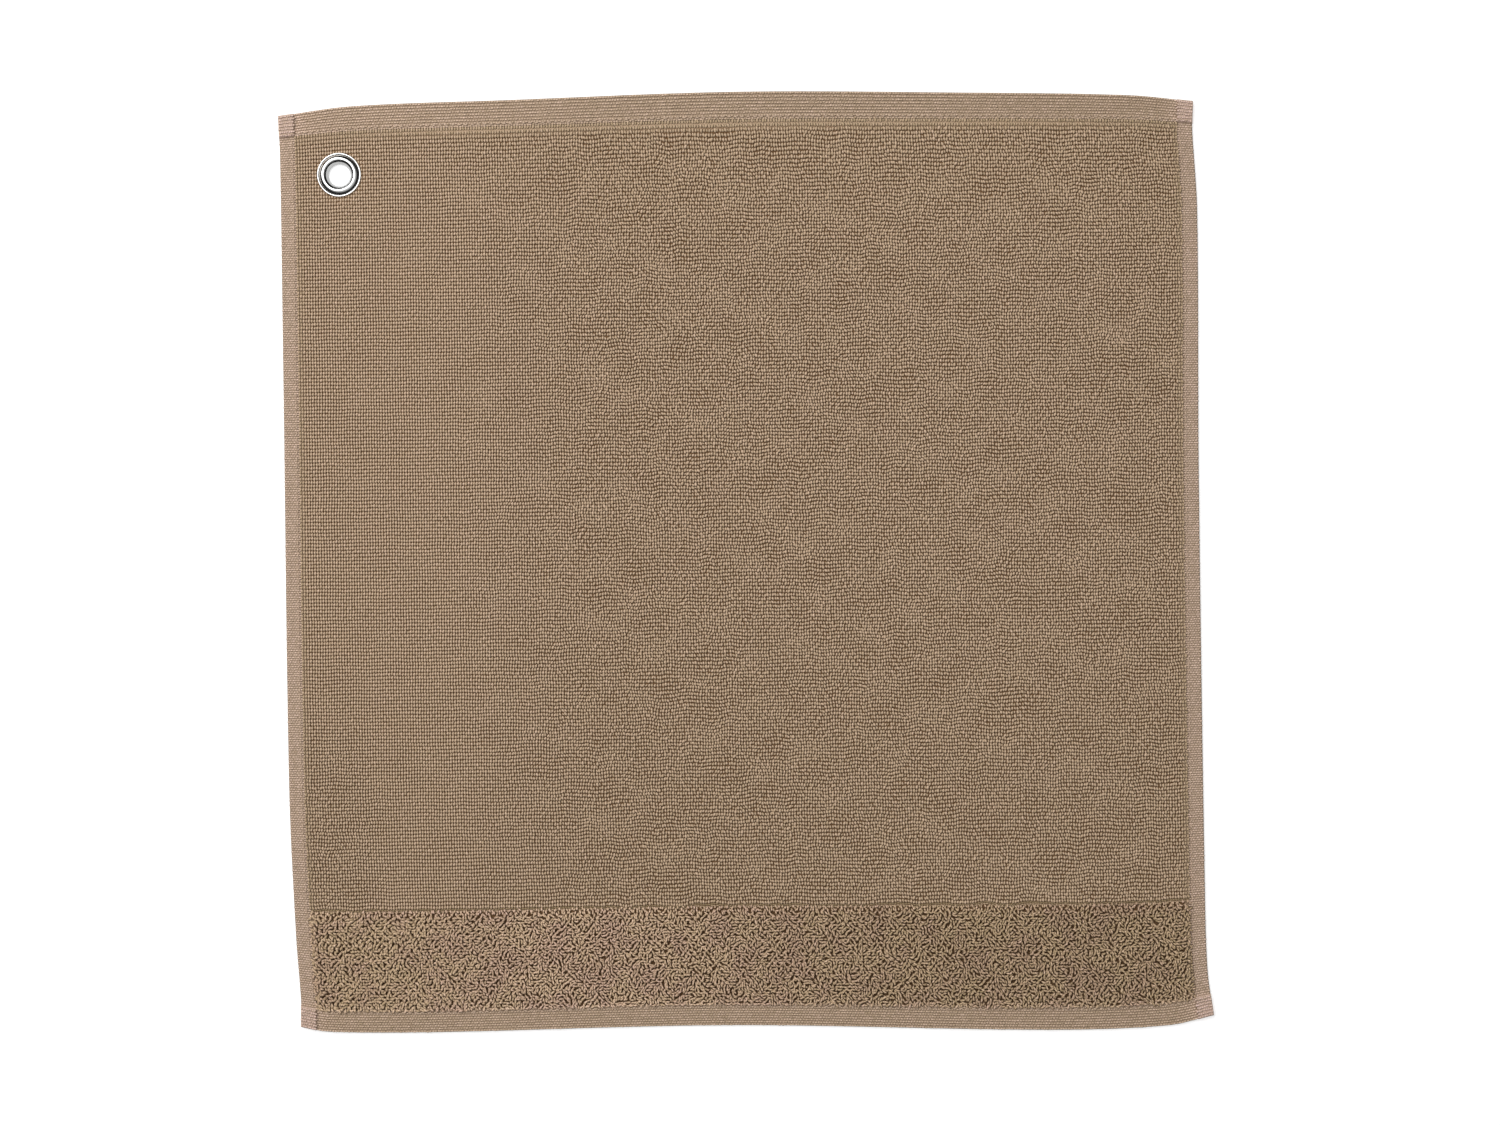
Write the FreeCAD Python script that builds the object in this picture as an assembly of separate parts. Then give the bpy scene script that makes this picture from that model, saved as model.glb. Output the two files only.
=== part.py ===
import FreeCAD, Part
import math
import os

# A square terry golf towel with a hanging eyelet, lying flat and face up. Millimetres.
# The cloth lies in the XY plane: +Y towards the top hem, -X towards the edge nearer the eyelet, +Z up.
# The origin is at the middle of the towel's outline, on the surface that it lies on.
#
# A place on the cloth is given as it was woven: `across` is the share of the width from the left
# edge, and `row` is the distance down from the top edge. place() lays it where the cloth lies.

Vector = FreeCAD.Vector

# Cloth as cut and hemmed
SIDE = 500.0
SIDE_HEM = 8.5
TOP_HEM = 12.4
BOTTOM_HEM = 11.8
BAND = 51.0
DIVIDER = 2.2

# Thickness
FIELD_T = 3.4
DIVIDER_T = 1.5
BAND_T = 5.2
HEM_T = 2.6
SIDE_HEM_T = 2.4
CORNER_T = 3.8  # a cross hem folded over the end of a side hem

# Rounding
FOLD_R = 1.05
FIELD_R = 0.8
BAND_R = 1.6
CORNER_R = 0.7

# Side hem ends, tucked inside the cross hems
TUCK_INSET = 1.6
TUCK_LENGTH = 9.0
TUCK_LOW = 1.0
TUCK_T = 1.2

# How the towel lies: its corners (X, Y), and how far each edge bows outward from the line between
# its corners, as (share along the edge, distance). Top and bottom run left to right, sides downward.
TOP_LEFT = (-255.7, 243.6)
TOP_RIGHT = (244.2, 251.8)
BOTTOM_LEFT = (-243.1, -254.1)
BOTTOM_RIGHT = (255.7, -247.6)
TOP_BOW = [(0.08, 4.8), (0.25, 6.8), (0.5, 9.3), (0.75, 6.8), (0.93, 3.9)]
BOTTOM_BOW = [(0.03, 2.9), (0.15, 3.9), (0.47, 2.2), (0.82, 7.0), (0.95, 5.4)]
LEFT_BOW = [(0.05, -0.4), (0.3, 0.9), (0.74, 3.3), (0.9, 1.6), (0.97, -0.2)]
RIGHT_BOW = [(0.03, -0.6), (0.12, 1.1), (0.4, -1.3), (0.85, -3.2), (0.95, -2.8)]
TOP_REACH = 28.0  # the top edge's bow fades into the cloth over this distance
BOTTOM_REACH = 55.0

# Seams: one lockstitch row along the inner edge of each hem
STITCH_PITCH = 3.5
STITCH_LENGTH = 2.8
STITCH_W = 0.6
STITCH_H = 0.25
SEAM_INSET = 1.4  # from the hem's inner edge
SEAM_END = 2.0  # clear of the cloth's corner

# Eyelet
EYELET_FROM_LEFT = 32.3
EYELET_FROM_TOP = 34.2
FLANGE_R = 12.0
LIP_R = 10.45  # the flat lip's inner edge, where the dome rises
CREST_R = 8.9
FUNNEL_R = 7.35
BORE_R = 6.0
METAL_T = 0.45
NIP_LOW = 0.85  # the cloth is pressed between these two heights
NIP_HIGH = 2.65
LIP_TOP = 3.1
CREST_TOP = 4.4
FUNNEL_TOP = 3.9
BORE_TOP = 2.4
ROLL_T = 0.35
ROLL_R = 8.2
ROLL_BEND = 0.45
PLAY = 0.05

GROOVE_ROW = SIDE - BOTTOM_HEM - BAND - DIVIDER
BAND_ROW = GROOVE_ROW + DIVIDER
BOTTOM_ROW = SIDE - BOTTOM_HEM
INNER_LEFT = SIDE_HEM / SIDE
INNER_RIGHT = 1.0 - INNER_LEFT
LONG_SPAN = 20.0  # spacing of the points that a curved edge is drawn through
NEAR = 0.001


def bow(knots, share):
    """Outward bow at a share of the edge: a smooth cubic through the knots, nought at both corners."""
    knots = [(0.0, 0.0)] + knots + [(1.0, 0.0)]
    slopes = []
    for i in range(len(knots)):
        before = knots[max(i - 1, 0)]
        after = knots[min(i + 1, len(knots) - 1)]
        slopes.append((after[1] - before[1]) / (after[0] - before[0]))
    i = 0
    while i < len(knots) - 2 and share > knots[i + 1][0]:
        i += 1
    (s0, b0), (s1, b1) = knots[i], knots[i + 1]
    h = s1 - s0
    t = (share - s0) / h
    rise = b0 * (1 + 2 * t) * (1 - t) ** 2 + b1 * t * t * (3 - 2 * t)
    return rise + h * (slopes[i] * t * (1 - t) ** 2 - slopes[i + 1] * t * t * (1 - t))


def place(across, row):
    """Where a point of the woven cloth lies: straight between the corners, then bowed with the edges."""
    down = row / SIDE
    corners = [TOP_LEFT, TOP_RIGHT, BOTTOM_LEFT, BOTTOM_RIGHT]
    shares = [(1 - across) * (1 - down), across * (1 - down), (1 - across) * down, across * down]
    x = sum(share * corner[0] for share, corner in zip(shares, corners))
    y = sum(share * corner[1] for share, corner in zip(shares, corners))
    x += across * bow(RIGHT_BOW, down) - (1 - across) * bow(LEFT_BOW, down)
    y += bow(TOP_BOW, across) * math.exp(-row / TOP_REACH)
    y -= bow(BOTTOM_BOW, across) * math.exp((row - SIDE) / BOTTOM_REACH)
    return Vector(x, y, 0)


drawn = {}


def border(a0, r0, a1, r1):
    """The curve between two places along one warp or weft line, drawn once so that neighbours share it."""
    key = tuple(sorted([(a0, r0), (a1, r1)]))
    if key not in drawn:
        (a0, r0), (a1, r1) = key
        span = math.hypot((a1 - a0) * SIDE, r1 - r0)
        steps = max(2, round(span / LONG_SPAN))
        curve = Part.BSplineCurve()
        curve.interpolate([
            place(a0 + (a1 - a0) * i / steps, r0 + (r1 - r0) * i / steps) for i in range(steps + 1)
        ])
        drawn[key] = curve.toShape()
    return drawn[key]


def zone(acrosses, rows, low, thickness):
    """A slab of cloth over a patch of the weave. Every value listed is a place where a border breaks."""
    sides = []
    for a0, a1 in zip(acrosses, acrosses[1:]):
        sides.append(border(a0, rows[0], a1, rows[0]))
        sides.append(border(a0, rows[-1], a1, rows[-1]))
    for r0, r1 in zip(rows, rows[1:]):
        sides.append(border(acrosses[0], r0, acrosses[0], r1))
        sides.append(border(acrosses[-1], r0, acrosses[-1], r1))
    face = Part.Face(Part.Wire(Part.__sortEdges__(sides)))
    slab = face.extrude(Vector(0, 0, thickness))
    slab.translate(Vector(0, 0, low))
    return slab


def rounded(slab, height, radius, lines=None):
    """The slab with its top edges rounded: all of them, or only those above the given border lines."""
    edges = []
    if lines is None:
        for edge in slab.Edges:
            box = edge.BoundBox
            if abs(box.ZMin - height) + abs(box.ZMax - height) < NEAR:
                edges.append(edge)
    else:
        for line in lines:
            middle = border(*line).CenterOfMass + Vector(0, 0, height)
            edges += [edge for edge in slab.Edges if (edge.CenterOfMass - middle).Length < NEAR]
    return slab.makeFillet(radius, edges)


def eyelet_centre():
    return place(EYELET_FROM_LEFT / SIDE, EYELET_FROM_TOP)


def disc(radius, low, high):
    spot = eyelet_centre() + Vector(0, 0, low)
    return Part.makeCylinder(radius, high - low, spot)


def terry_field():
    """Low-loop terry, with the eyelet's hole and the two seats where the metal presses the cloth."""
    slab = zone([INNER_LEFT, INNER_RIGHT], [TOP_HEM, GROOVE_ROW], 0, FIELD_T)
    slab = rounded(slab, FIELD_T, FIELD_R)
    slab = slab.cut(disc(FLANGE_R + PLAY, NIP_HIGH, FIELD_T + 1))
    slab = slab.cut(disc(FLANGE_R + PLAY, -1, NIP_LOW))
    return slab.cut(disc(BORE_R + METAL_T + PLAY, -1, FIELD_T + 1))


def divider():
    """The narrow flat-woven groove between the field and the deep-pile band."""
    return zone([INNER_LEFT, INNER_RIGHT], [GROOVE_ROW, BAND_ROW], 0, DIVIDER_T)


def deep_pile_band():
    """The band of long loops along the bottom."""
    slab = zone([INNER_LEFT, INNER_RIGHT], [BAND_ROW, BOTTOM_ROW], 0, BAND_T)
    return rounded(slab, BAND_T, BAND_R)


def tuck(a0, a1, row, away):
    """The end of a side hem, pressed flat inside a cross hem. `away` is -1 at the top and 1 at the bottom."""
    inset = TUCK_INSET / SIDE
    rows = sorted([row, row + away * TUCK_LENGTH])
    return zone([a0 + inset, a1 - inset], rows, TUCK_LOW, TUCK_T)


def side_hem(a0, a1, fold):
    """A side hem, folded at `fold`, with both its ends tucked into the cross hems."""
    rows = [TOP_HEM, GROOVE_ROW, BAND_ROW, BOTTOM_ROW]
    slab = zone([a0, a1], rows, 0, SIDE_HEM_T)
    slab = rounded(slab, SIDE_HEM_T, FOLD_R, [(fold, r0, fold, r1) for r0, r1 in zip(rows, rows[1:])])
    return slab.fuse([tuck(a0, a1, TOP_HEM, -1), tuck(a0, a1, BOTTOM_ROW, 1)])


def cross_hem(fold, inner_row, away):
    """The top or bottom hem: a strip folded at `fold`, thicker where it wraps the ends of the side hems."""
    rows = sorted([fold, inner_row])
    strip = zone([INNER_LEFT, INNER_RIGHT], rows, 0, HEM_T)
    strip = rounded(strip, HEM_T, FOLD_R, [(INNER_LEFT, fold, INNER_RIGHT, fold)])
    corners = [(0.0, INNER_LEFT), (INNER_RIGHT, 1.0)]
    blocks = [rounded(zone(corner, rows, 0, CORNER_T), CORNER_T, CORNER_R) for corner in corners]
    hem = strip.fuse(blocks).removeSplitter()
    return hem.cut([tuck(a0, a1, inner_row, away) for a0, a1 in corners])


def stitch():
    """One visible stitch: a low half-round bar along X, lying on z = 0."""
    half = STITCH_W / 2
    ends = [Vector(0, -half, 0), Vector(0, half, 0)]
    arch = Part.Arc(ends[0], Vector(0, 0, STITCH_H), ends[1]).toShape()
    section = Part.Face(Part.Wire([arch, Part.makeLine(ends[1], ends[0])]))
    return section.extrude(Vector(STITCH_LENGTH, 0, 0))


def seam(start, end, heights):
    """A row of stitches between two places. `heights` gives the cloth's surface at a share along it."""
    length = math.hypot((end[0] - start[0]) * SIDE, end[1] - start[1])
    count = int(length / STITCH_PITCH)
    bar = stitch()
    row = []
    for i in range(count):
        shares = [i / count, (i + STITCH_LENGTH / STITCH_PITCH) / count]
        surface = heights(shares[0], length)
        if surface != heights(shares[1], length):
            continue
        first, last = [
            place(start[0] + (end[0] - start[0]) * s, start[1] + (end[1] - start[1]) * s) for s in shares
        ]
        turn = math.degrees(math.atan2(last.y - first.y, last.x - first.x))
        laid = bar.copy()
        laid.Placement = FreeCAD.Placement(
            first + Vector(0, 0, surface), FreeCAD.Rotation(Vector(0, 0, 1), turn)
        )
        row.append(laid)
    return Part.makeCompound(row)


def side_seam(a, inward):
    """Stitching along a side hem, from one cross hem to the other."""
    across = a + inward * (SIDE_HEM - SEAM_INSET) / SIDE
    start = (across, TOP_HEM + SEAM_END)
    end = (across, BOTTOM_ROW - SEAM_END)
    return seam(start, end, lambda share, length: SIDE_HEM_T)


def cross_seam(inner_row, away):
    """Stitching along the top or bottom hem, over the thick corners at both its ends."""
    row = inner_row + away * SEAM_INSET
    margin = SEAM_END / SIDE

    def heights(share, length):
        from_end = min(share, 1 - share) * length + SEAM_END
        if abs(from_end - SIDE_HEM) < CORNER_R:
            return None
        return CORNER_T if from_end < SIDE_HEM else HEM_T

    return seam((margin, row), (1 - margin, row), heights)


def revolved(outline):
    """A ring about the eyelet's axis, from a closed outline of (radius, height) points, or (via, end) arcs."""
    edges = []
    here = Vector(outline[0][0], 0, outline[0][1])
    for step in outline[1:] + [outline[0]]:
        if isinstance(step[0], tuple):
            via = Vector(step[0][0], 0, step[0][1])
            there = Vector(step[1][0], 0, step[1][1])
            edges.append(Part.Arc(here, via, there).toShape())
        else:
            there = Vector(step[0], 0, step[1])
            edges.append(Part.makeLine(here, there))
        here = there
    ring = Part.Face(Part.Wire(edges)).revolve(Vector(0, 0, 0), Vector(0, 0, 1), 360)
    ring.translate(eyelet_centre())
    return ring


def eyelet_barrel():
    """The face half: a lip, a hollow domed ring, a funnel and a neck, rolled out under the washer."""
    neck_r = BORE_R + METAL_T
    outline = [
        (FLANGE_R, NIP_HIGH),
        (FLANGE_R, LIP_TOP - METAL_T / 3),
        (LIP_R, LIP_TOP),
        ((CREST_R + METAL_T, CREST_TOP - METAL_T / 3), (CREST_R, CREST_TOP)),
        ((FUNNEL_R + METAL_T, CREST_TOP - METAL_T / 4), (FUNNEL_R, FUNNEL_TOP)),
        ((BORE_R + METAL_T, (FUNNEL_TOP + BORE_TOP) / 2), (BORE_R, BORE_TOP)),
        (BORE_R, ROLL_BEND),
        ((BORE_R + ROLL_BEND * 0.293, ROLL_BEND * 0.293), (BORE_R + ROLL_BEND, 0)),
        (ROLL_R, 0),
        (ROLL_R, ROLL_T),
        (neck_r, ROLL_T),
        (neck_r, NIP_HIGH),
        ((neck_r + METAL_T, FUNNEL_TOP - METAL_T * 1.6), (CREST_R, CREST_TOP - METAL_T)),
        ((CREST_R + METAL_T * 2, CREST_TOP - METAL_T * 1.9), (LIP_R - METAL_T / 2, NIP_HIGH)),
    ]
    return revolved(outline)


def eyelet_washer():
    """The back half: a dished ring that the neck is rolled over, pressed up into the cloth."""
    neck_r = BORE_R + METAL_T + PLAY
    dish = ROLL_R + METAL_T
    outline = [
        (neck_r, ROLL_T),
        (dish, ROLL_T),
        (dish + METAL_T, METAL_T / 3),
        (FLANGE_R - METAL_T / 2, METAL_T / 3),
        ((FLANGE_R - METAL_T / 8, METAL_T / 2), (FLANGE_R, METAL_T)),
        (FLANGE_R, NIP_LOW),
        (neck_r, NIP_LOW),
    ]
    return revolved(outline)


PIECES = {
    "terry_field": terry_field,
    "divider": divider,
    "deep_pile_band": deep_pile_band,
    "top_hem": lambda: cross_hem(0.0, TOP_HEM, -1),
    "bottom_hem": lambda: cross_hem(SIDE, BOTTOM_ROW, 1),
    "left_hem": lambda: side_hem(0.0, INNER_LEFT, 0.0),
    "right_hem": lambda: side_hem(INNER_RIGHT, 1.0, 1.0),
    "top_seam_thread": lambda: cross_seam(TOP_HEM, -1),
    "bottom_seam_thread": lambda: cross_seam(BOTTOM_ROW, 1),
    "left_seam_thread": lambda: side_seam(0.0, 1),
    "right_seam_thread": lambda: side_seam(1.0, -1),
    "eyelet_barrel": eyelet_barrel,
    "eyelet_washer": eyelet_washer,
}

os.makedirs("parts", exist_ok=True)
for name, make in PIECES.items():
    shape = make()
    shape.exportStep(f"parts/{name}.step")
    box = shape.BoundBox
    print(name, len(shape.Solids), "solids, valid", shape.isValid(), "volume", round(shape.Volume, 1))
    print("   box", [round(v, 2) for v in (box.XMin, box.YMin, box.ZMin, box.XMax, box.YMax, box.ZMax)])
print("eyelet centre", [round(v, 3) for v in eyelet_centre()])
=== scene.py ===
"""A golf towel laid flat: looped terry, a deep-pile band, folded hems, sewn seams and a hanging eyelet.

Points of the cloth are given as (across, up, high) in metres: from its left edge, from its top edge,
so that up is negative on the cloth, and from the surface it lies on. lay() then puts them in place.
"""

import math

import bpy
import numpy as np
from bpy.props import FloatProperty, FloatVectorProperty, PointerProperty
from bpy.types import Operator, Panel, PropertyGroup
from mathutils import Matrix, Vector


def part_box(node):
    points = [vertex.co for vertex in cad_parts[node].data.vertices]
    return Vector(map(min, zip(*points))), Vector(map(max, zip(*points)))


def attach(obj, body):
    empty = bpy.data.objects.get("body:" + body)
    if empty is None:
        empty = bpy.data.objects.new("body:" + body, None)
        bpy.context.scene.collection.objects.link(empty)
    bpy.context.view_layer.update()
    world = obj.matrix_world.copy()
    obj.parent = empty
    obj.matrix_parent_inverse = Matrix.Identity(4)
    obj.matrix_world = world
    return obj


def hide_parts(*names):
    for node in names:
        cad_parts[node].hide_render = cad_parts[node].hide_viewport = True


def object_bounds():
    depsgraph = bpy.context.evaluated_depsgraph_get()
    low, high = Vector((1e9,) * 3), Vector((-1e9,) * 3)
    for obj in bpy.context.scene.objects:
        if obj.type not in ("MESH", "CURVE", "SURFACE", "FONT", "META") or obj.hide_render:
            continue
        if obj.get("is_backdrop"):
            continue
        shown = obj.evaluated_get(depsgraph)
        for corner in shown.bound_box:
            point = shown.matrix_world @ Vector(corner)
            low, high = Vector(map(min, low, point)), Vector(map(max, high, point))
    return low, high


bl_info = {
    "name": "Golf towel",
    "version": (1, 0, 0),
    "blender": (4, 5, 0),
    "location": "3D View > Sidebar > Towel",
    "description": "Builds the cloth, pile, hems, seams and eyelet finish of a golf towel",
    "category": "Object",
}

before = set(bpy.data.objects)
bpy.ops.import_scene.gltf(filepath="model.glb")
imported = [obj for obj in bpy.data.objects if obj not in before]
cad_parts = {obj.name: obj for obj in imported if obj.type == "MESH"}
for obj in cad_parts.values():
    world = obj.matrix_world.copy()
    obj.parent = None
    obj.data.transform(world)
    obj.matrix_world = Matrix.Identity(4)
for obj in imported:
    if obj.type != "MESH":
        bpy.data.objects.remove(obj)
CAD_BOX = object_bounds()

MM = 0.001
TAU = 2 * math.pi

# The outline and the zones of the cloth, as in the part.
SIDE = 500 * MM
SIDE_HEM = 8.5 * MM
TOP_HEM = 12.4 * MM
GROOVE_ROW = 435.0 * MM
BOTTOM_ROW = 488.2 * MM
TOP_LEFT = (-255.7 * MM, 243.6 * MM)
TOP_RIGHT = (244.2 * MM, 251.8 * MM)
BOTTOM_LEFT = (-243.1 * MM, -254.1 * MM)
BOTTOM_RIGHT = (255.7 * MM, -247.6 * MM)
TOP_BOW = [(0.08, 4.8), (0.25, 6.8), (0.5, 9.3), (0.75, 6.8), (0.93, 3.9)]
BOTTOM_BOW = [(0.03, 2.9), (0.15, 3.9), (0.47, 2.2), (0.82, 7.0), (0.95, 5.4)]
LEFT_BOW = [(0.05, -0.4), (0.3, 0.9), (0.74, 3.3), (0.9, 1.6), (0.97, -0.2)]
RIGHT_BOW = [(0.03, -0.6), (0.12, 1.1), (0.4, -1.3), (0.85, -3.2), (0.95, -2.8)]
TOP_REACH = 28 * MM
BOTTOM_REACH = 55 * MM

# Heights of the layers. Loops are rooted a little way inside the ground cloth.
GROUND_LOW = 0.75 * MM
GROUND_TOP = 1.8 * MM
ROOT = GROUND_TOP - 0.1 * MM
HEM_LOW = 0.05 * MM
HEM_T = 2.6 * MM
SIDE_HEM_T = 2.4 * MM
CORNER_T = 3.8 * MM
FOLD_R = 1.05 * MM
RELIEF = 0.04 * MM

# The pile runs this far in under the hems, and its rows lie straight up to this far from them.
TUCK = 0.2 * MM
CALM = 12 * MM
BAND_END_PITCH = 1.42 * MM
BAND_ROW_PITCH = 1.55 * MM

# The eyelet in the cloth.
EYELET = (32.3 * MM, -34.2 * MM)
FLANGE_R = 12 * MM
CLOTH_HOLE_R = 9 * MM
CLAMP_REACH = 5 * MM

# The face half of the eyelet, as (radius, height) in mm: its lip, its hollow dome, the funnel and the
# neck, which is rolled out under the washer.
EYELET_OUTLINE = [
    (11.95, 2.62), (12.0, 2.8), (11.88, 3.0), (11.62, 3.12), (11.4, 3.11), (11.22, 3.0),
    (11.08, 2.84), (10.98, 2.72), (10.9, 2.8), (10.82, 3.05), (10.62, 3.28), (10.3, 3.57),
    (9.9, 3.89), (9.5, 4.15), (9.15, 4.33), (8.85, 4.41), (8.6, 4.43), (8.35, 4.4),
    (8.1, 4.28), (7.8, 4.08), (7.5, 3.84), (7.2, 3.56), (6.95, 3.28), (6.78, 2.95),
    (6.58, 2.5), (6.34, 2.0), (6.12, 1.6), (6.0, 1.2), (6.0, 0.9), (6.03, 0.5),
    (6.15, 0.2), (6.4, 0.04), (6.8, 0.0), (8.1, 0.0), (8.2, 0.15), (8.15, 0.35),
    (6.9, 0.36), (6.47, 0.5), (6.45, 1.6), (6.9, 2.4), (7.5, 3.2), (8.3, 3.9),
    (9.1, 3.85), (9.9, 3.3), (10.4, 2.9), (10.7, 2.62),
]
EYELET_TURNS = 144
# The plate is painted darker in its creases, given as (radius, reach), and inside its funnel: painted shade
# and painted dark reflections.
CREASES = ((10.9 * MM, 0.5 * MM), (7.35 * MM, 0.4 * MM))
FUNNEL_R = 7.0 * MM
FUNNEL_PAINTED_BRIGHTNESS = 0.42

# The stage: half the table's width, where the lamps and the camera stand, and how the light from all
# round rises from near the horizon, where only a share of it is left, to overhead.
TABLE_HALF = 4.0
SOFTBOX_SIZE = 1.4
SOFTBOX_AT = (-0.6, 0.6, 1.15)
KEY_AT = (-1.0, 1.1, 1.45)
KEY_SPREAD = math.radians(45)
CAMERA_AT = (2.2 * MM, -0.35 * MM)
DIM_BELOW, FULL_ABOVE, DIM_SHARE = 0.42, 0.9, 0.02

CLOTH_NODES = ("terry_field", "divider", "deep_pile_band")


# ---------------------------------------------------------------- sizes and colours


def length(name, description, default):
    """A size property, in metres."""
    return FloatProperty(
        name=name, description=description, default=default, min=0, unit="LENGTH", precision=5
    )


def colour(name, description, default):
    """A colour property."""
    return FloatVectorProperty(
        name=name, description=description, default=default, size=3, min=0, max=1, subtype="COLOR"
    )


class TowelPile(PropertyGroup):
    """Sizes of the terry loops and the deep pile."""

    row_pitch: length("Row pitch", "From one row of loops to the next", 1.92 * MM)
    end_pitch: length("End pitch", "From one loop to the next along a row", 1.48 * MM)
    loop_length: length("Loop length", "A terry loop, from foot to foot", 1.8 * MM)
    loop_width: length("Loop width", "The widest part of a terry loop", 1.4 * MM)
    loop_top: length("Loop top", "Height of the terry loops above the table", 3.3 * MM)
    band_length: length("Band loop length", "A tousled loop of the band", 2.9 * MM)
    band_width: length("Band loop width", "Thickness of a band loop", 1.0 * MM)
    band_top: length("Band top", "Height of the band's loops above the table", 5.0 * MM)


class TowelHems(PropertyGroup):
    """Sizes of the hems' weave and of the sewing."""

    rib_pitch: length("Rib pitch", "From rib to rib in the cross hems", 1.31 * MM)
    side_pitch: length("Side row pitch", "From row to row in the side hems", 1.27 * MM)
    corner_pitch: length("Corner row pitch", "From row to row in the corners", 1.6 * MM)
    stitch_pitch: length("Stitch pitch", "From stitch to stitch", 3.5 * MM)
    stitch_length: length("Stitch length", "Thread seen between two needle holes", 2.8 * MM)
    ply: length("Ply", "Thickness of one of the thread's two plies", 0.4 * MM)


class TowelColours(PropertyGroup):
    """Colours of the cotton, the thread and the metal."""

    pile: colour("Pile", "Tips of the terry loops", (0.504, 0.372, 0.253))
    band: colour("Band", "Tips of the deep pile", (0.572, 0.419, 0.282))
    hem: colour("Hem", "Ribbed weave of the cross hems", (0.525, 0.392, 0.28))
    side: colour("Side hem", "Flat weave of the side hems", (0.5, 0.373, 0.268))
    corner: colour("Corner", "Weave folded over at the corners", (0.515, 0.385, 0.302))
    thread: colour("Thread", "Sewing thread", (0.51, 0.385, 0.285))
    metal: colour("Metal", "Nickel of the eyelet", (0.86, 0.86, 0.85))


class TowelStage(PropertyGroup):
    """The table, the lamps and the camera."""

    table: colour("Table", "Colour of the table", (0.65, 0.65, 0.65))
    table_glow: FloatProperty(
        name="Table glow", description="Light of the lit table top", default=0.48, min=0
    )
    camera_height: length("Camera height", "From the table up to the camera", 1.2)
    view_width: length("View width", "Width of table that the camera takes in", 0.8196)
    lamp_power: FloatProperty(
        name="Lamp power", description="Softbox over the top left", default=16.0, min=0, unit="POWER"
    )
    key_light: FloatProperty(
        name="Key light", description="Broad lamp far off to the top left", default=0.8, min=0
    )
    room_light: FloatProperty(
        name="Room light", description="Light that comes from all round", default=0.9, min=0
    )


# ---------------------------------------------------------------- the lie of the cloth


def bow(knots, share):
    """How far an edge bows out at each share of its length: a smooth curve through the knots."""
    at, rise = np.array([(0.0, 0.0), *knots, (1.0, 0.0)]).T
    here = np.arange(len(at))
    after, before = np.minimum(here + 1, len(at) - 1), np.maximum(here - 1, 0)
    slope = (rise[after] - rise[before]) / (at[after] - at[before])
    share = np.clip(share, 0, 1)
    i = np.clip(np.searchsorted(at, share, side="right") - 1, 0, len(at) - 2)
    span = at[i + 1] - at[i]
    t = (share - at[i]) / span
    level = rise[i] * (1 + 2 * t) * (1 - t) ** 2 + rise[i + 1] * t * t * (3 - 2 * t)
    return MM * (level + span * (slope[i] * t * (1 - t) ** 2 - slope[i + 1] * t * t * (1 - t)))


def lay(points):
    """Puts points of the cloth where they lie on the table."""
    across, down, row = points[..., 0] / SIDE, -points[..., 1] / SIDE, -points[..., 1]
    x, y = (
        (1 - across) * ((1 - down) * TOP_LEFT[i] + down * BOTTOM_LEFT[i])
        + across * ((1 - down) * TOP_RIGHT[i] + down * BOTTOM_RIGHT[i])
        for i in (0, 1)
    )
    x = x + across * bow(RIGHT_BOW, down) - (1 - across) * bow(LEFT_BOW, down)
    y = y + bow(TOP_BOW, across) * np.exp(-row / TOP_REACH)
    y = y - bow(BOTTOM_BOW, across) * np.exp((row - SIDE) / BOTTOM_REACH)
    return np.stack([x, y, points[..., 2]], -1)


def waves(seed, shortest, longest, count=20):
    """A smooth random field over the cloth, mostly between -1 and 1, with ripples of these lengths."""
    rng = np.random.default_rng(seed)
    size = shortest * (longest / shortest) ** rng.random(count)
    way, phase = rng.random((2, count)) * TAU

    def field(across, up):
        total = 0
        for s, w, p in zip(size, way, phase):
            total = total + np.cos(TAU / s * (math.cos(w) * across + math.sin(w) * up) + p)
        return total * math.sqrt(0.5 / count)

    return field


relief = waves(1, 40 * MM, 160 * MM)
sway_across = waves(2, 22 * MM, 90 * MM)
sway_up = waves(3, 10 * MM, 45 * MM)
tousle = waves(9, 3.5 * MM, 11 * MM)


def looseness(across, up):
    """How tousled the terry is: combed straight by the eyelet and the left hem, loose elsewhere."""
    corner = smooth(0.5 * SIDE, 0.8 * SIDE, -up) * (1 - smooth(0.04 * SIDE, 0.16 * SIDE, across))
    return np.maximum(0.3 + 0.7 * smooth(0.12 * SIDE, 0.4 * SIDE, across), 0.85 * corner)


def drift(across, up):
    """How far up the rows of loops wander from their straight lines."""
    wave = 0.72 * MM * sway_up(across, 0.45 * up) + 0.2 * MM * tousle(across, 0.45 * up)
    return wave * looseness(across, up) * smooth(0, CALM, np.minimum(across, SIDE - across) - SIDE_HEM)


def uneven(rng, shape):
    """Differences from one loop of a lattice to the next, without patches of like ones."""
    own = rng.normal(0, 1, shape)
    beside = sum(np.roll(own, step, axis) for step in (-1, 1) for axis in (0, 1))
    return (0.9 * (own - beside / 4)).ravel().clip(-2.2, 2.2)


def smooth(low, high, x):
    """Rises smoothly from 0 at low to 1 at high."""
    t = np.clip((x - low) / (high - low), 0, 1)
    return t * t * (3 - 2 * t)


def from_eyelet(across, up):
    """Distance from the middle of the eyelet."""
    return np.hypot(across - EYELET[0], up - EYELET[1])


def pile_share(across, up):
    """0 in the flat weave beside the top hem, which is widest in the middle, and 1 where loops stand."""
    width = (0.4 + 3.0 * np.sin(math.pi * np.clip(across / SIDE, 0, 1)) ** 2) * MM
    return smooth(TOP_HEM + width, TOP_HEM + width + 1.6 * MM, -up)


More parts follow.
